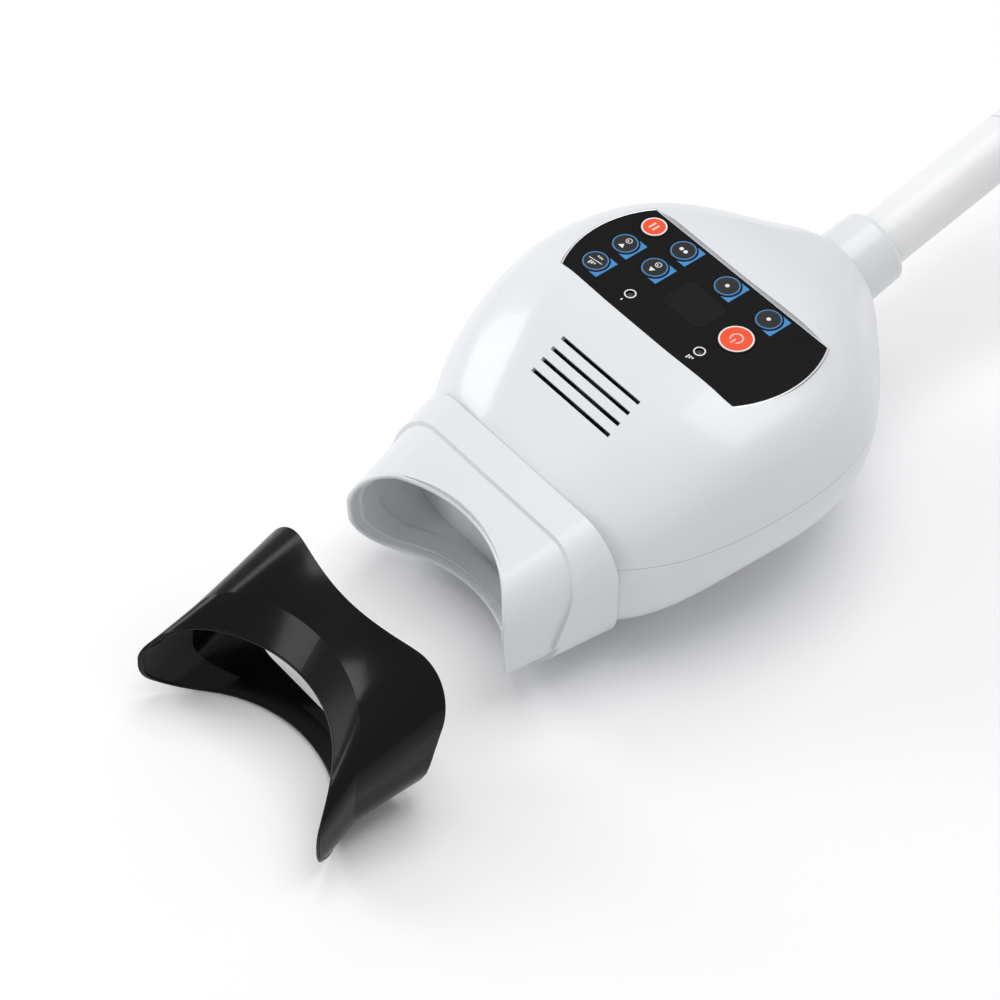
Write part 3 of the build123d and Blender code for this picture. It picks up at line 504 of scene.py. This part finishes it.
def key_face(name, x, y, radius, mark, red, inks):
    """Ring, cap colour and mark of one key, which move with it."""
    body, slot = "key_body_" + name, "key_black"
    edge = radius - EDGE_ROUND
    low, high = KEY_TOP - SINK, KEY_TOP + INK
    width = RING_WIDTH * (RED_RING_SHARE if red else 1.0)
    trim = ring(name + "_ring", (x, y), edge - width, edge, low, high)
    add_piece(name + "_ring", trim, inks["white" if red else "blue"], body)
    if red:
        face = inked(name + "_face", [round_points((x, y), edge - width)], low, high)
        add_piece(name + "_face", face, inks["red"], body)
    ink = inks["pale" if red else "white"]
    add_piece(name + "_mark", inked(name + "_mark", mark(x, y), low, high + INK), ink, body)


def corner_block(name, x, y, radius, inks):
    """Blue block printed beside a key, with the key's round left out of it."""
    hole = radius + KEY_HOLE_GAP
    start = math.degrees(math.acos(BLOCK_HALF / hole))
    sweep = 180 - 2 * start
    turns = [math.radians(90 - start - sweep * step / BLOCK_STEPS) for step in range(BLOCK_STEPS + 1)]
    round_edge = [(x + hole * math.cos(turn), y + hole * math.sin(turn)) for turn in turns]
    top, right = y + BLOCK_HALF, x + BLOCK_REACH
    outline = [(right, y - BLOCK_HALF), (right, top)] + round_edge
    block = inked(name + "_block", [outline], PANEL_TOP - SINK, PANEL_TOP + INK)
    add_piece(name + "_block", block, inks["blue"], "head")


def dress_keys(inks):
    """Print on the keys and beside them."""
    for name, x, y, radius, mark, red in KEYS:
        key_face(name, x, y, radius, mark, red, inks)
        if not red:
            corner_block(name, x, y, radius, inks)


# x, y and bar heights of each indicator
INDICATORS = ((-18.2, -13.2, (0.9,)), (18.2, -13.2, (0.8, 1.4, 2.0)))
INDICATOR_RING = (1.72, 2.2)
INDICATOR_RISE = 0.1
LEGEND_AWAY = 3.6
RIM_REACH = (-0.25, 0.28)
RIM_RISE = 0.16
RIM_SOFTEN = 0.3


def dress_panel(inks):
    """Silver rim, rings round the two indicators and their level marks."""
    low = PANEL_TOP - SINK
    inside, outside = (panel_points(reach) for reach in RIM_REACH)
    rim = band("panel_rim", inside, outside, low, PANEL_TOP + RIM_RISE, RIM_SOFTEN)
    add_piece("panel_rim", rim, inks["silver"], "head")
    for number, (x, y, heights) in enumerate(INDICATORS):
        name = f"indicator_{number}"
        trim = ring(name, (x, y), *INDICATOR_RING, low, PANEL_TOP + INDICATOR_RISE)
        add_piece(name + "_ring", trim, inks["white"], "head")
        legend = inked(name + "_legend", level_mark(x, y - LEGEND_AWAY, heights), low, PANEL_TOP + INK)
        add_piece(name + "_legend", legend, inks["white"], "head")


BEAD_ROUNDING = 3


def bead(name, points, radius, material, body):
    """Rounded edge along a closed row of points in millimetres."""
    data = bpy.data.curves.new(name, "CURVE")
    data.dimensions = "3D"
    data.bevel_depth = radius * MM
    data.bevel_resolution = BEAD_ROUNDING
    spline = data.splines.new("POLY")
    spline.points.add(len(points) - 1)
    for knot, point in zip(spline.points, points):
        knot.co = (*(Vector(point) * MM), 1)
    spline.use_cyclic_u = True
    add_piece(name, data, material, body)


# The hood's wall, its place, and the size of its front edge, in millimetres
HOOD_WALL = 1.3
HOOD_SIDE = 9.0
HOOD_FRONT = -213.33
HOOD_ROUND = 56.0
RIM_HALF_WIDTH = 50.9
RIM_TOP = 35.6
RIM_RADII = (17.0, 13.0)
CORNER_STEPS = 12
LONGEST_STEP = 2.0


def rounded_corners(half_width, top, bottom, radii):
    """Points round a rectangle's four rounded corners, with its upper and lower radius."""
    points = []
    for side, level, start in ((1, 1, 0), (1, -1, -90), (-1, -1, -180), (-1, 1, -270)):
        radius = radii[0] if level > 0 else radii[1]
        for step in range(CORNER_STEPS + 1):
            angle = math.radians(start + 90 - 90 * step / CORNER_STEPS)
            x = side * (half_width - radius) + radius * math.cos(angle)
            z = (top - radius if level > 0 else bottom + radius) + radius * math.sin(angle)
            points.append((x, z))
    return points


def even_steps(points):
    """The same closed line with short steps along its straight runs."""
    even = []
    for one, other in zip(points, points[1:] + points[:1]):
        steps = max(1, round(math.dist(one, other) / LONGEST_STEP))
        even += [tuple(Vector(one).lerp(Vector(other), step / steps)) for step in range(steps)]
    return even


def hood_rim_points():
    """Middle line of the hood's front edge."""
    inset = HOOD_WALL / 2
    centre = HOOD_FRONT - math.sqrt(HOOD_ROUND**2 - RIM_HALF_WIDTH**2)
    radii = tuple(radius - inset for radius in RIM_RADII)
    outline = even_steps(rounded_corners(RIM_HALF_WIDTH - inset, RIM_TOP - inset, inset, radii))
    return [(x + HOOD_SIDE, centre + math.sqrt(HOOD_ROUND**2 - x * x), z) for x, z in outline]


# The nozzle tapers forward from its back: half width, top and bottom there, and how fast each shrinks
NOZZLE_BACK = -77.8
NOZZLE_SIZES = (52.6, 62.6, 8.8)
NOZZLE_SLOPES = (0.17, 0.28, 0.05)
NOZZLE_RADII = (19.1, 18.4)
LIP_INSET = 2.45
LIP_FRONT = -101.1
LIP_ROUND = 56.7
LIP_LEAN = -0.07
LIP_HEIGHT = 43.0
LIP_ROUNDS = 6
LIP_BEAD = 1.0


def lip_y(x, z):
    """Y of the round of a face that the lip is cut to."""
    return LIP_FRONT + LIP_LEAN * (z - LIP_HEIGHT) + math.sqrt(max(LIP_ROUND**2 - x * x, 0)) - LIP_ROUND


def nozzle_section(y):
    """Middle line of the nozzle's wall in the section at y."""
    forward = NOZZLE_BACK - y
    half, top, bottom = (size - slope * forward for size, slope in zip(NOZZLE_SIZES, NOZZLE_SLOPES))
    radii = tuple(radius - LIP_INSET for radius in NOZZLE_RADII)
    return rounded_corners(half - LIP_INSET, top - LIP_INSET, bottom + LIP_INSET, radii)


def lip_points():
    """Middle line of the nozzle's lip: each point of the section moves until it is on the round."""
    places = []
    for number in range(len(nozzle_section(LIP_FRONT))):
        y = LIP_FRONT
        for _ in range(LIP_ROUNDS):
            x, z = nozzle_section(y)[number]
            y = lip_y(x, z)
        places.append((x, z))
    return [(x, lip_y(x, z), z) for x, z in even_steps(places)]


def dress_edges(materials):
    """Rounded edges that catch the light: the hood's rim and the nozzle's lip."""
    bead("hood_rim_bead", hood_rim_points(), HOOD_WALL / 2, materials["hood_black"], "hood")
    bead("lip_bead", lip_points(), LIP_BEAD, materials["white_casing"], "head")


make_camera()
make_floor()
make_lights()
materials = make_materials()
inks = make_inks()
dress_nodes(materials)
dress_keys(inks)
dress_panel(inks)
dress_edges(materials)
